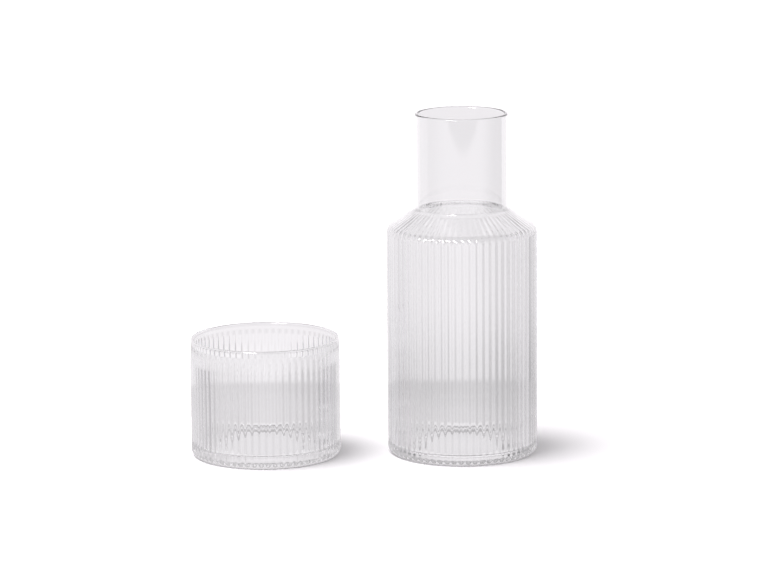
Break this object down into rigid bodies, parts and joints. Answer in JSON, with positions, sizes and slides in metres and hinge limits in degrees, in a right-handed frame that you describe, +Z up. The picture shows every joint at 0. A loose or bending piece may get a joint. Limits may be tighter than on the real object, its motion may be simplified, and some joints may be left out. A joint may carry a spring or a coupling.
{
  "type": "bedside carafe with tumbler",
  "caption": "Ribbed clear-glass carafe with a plain straight neck, and the matching low tumbler that stands beside it.",
  "frame": {"origin": "centre of the ring that the carafe stands on, at the height of the table", "axes": "+Z up the carafe's neck, -X towards the tumbler beside it, +Y away from the viewer in the picture's front view"},
  "size_m": [0.1854, 0.08, 0.183],
  "materials": {
    "carafe_glass": "clear, fire-polished, ribbed outside",
    "tumbler_glass": "clear, fire-polished, ribbed outside"
  },
  "bodies": {
    "carafe": {"carafe": "carafe_glass"},
    "tumbler": {"tumbler": "tumbler_glass"}
  },
  "joints": [
    {"name": "tumbler_lift", "type": "slide", "parent": "carafe", "child": "tumbler", "axis": [0, 0, 1], "range_m": [0, 0.2]}
  ]
}
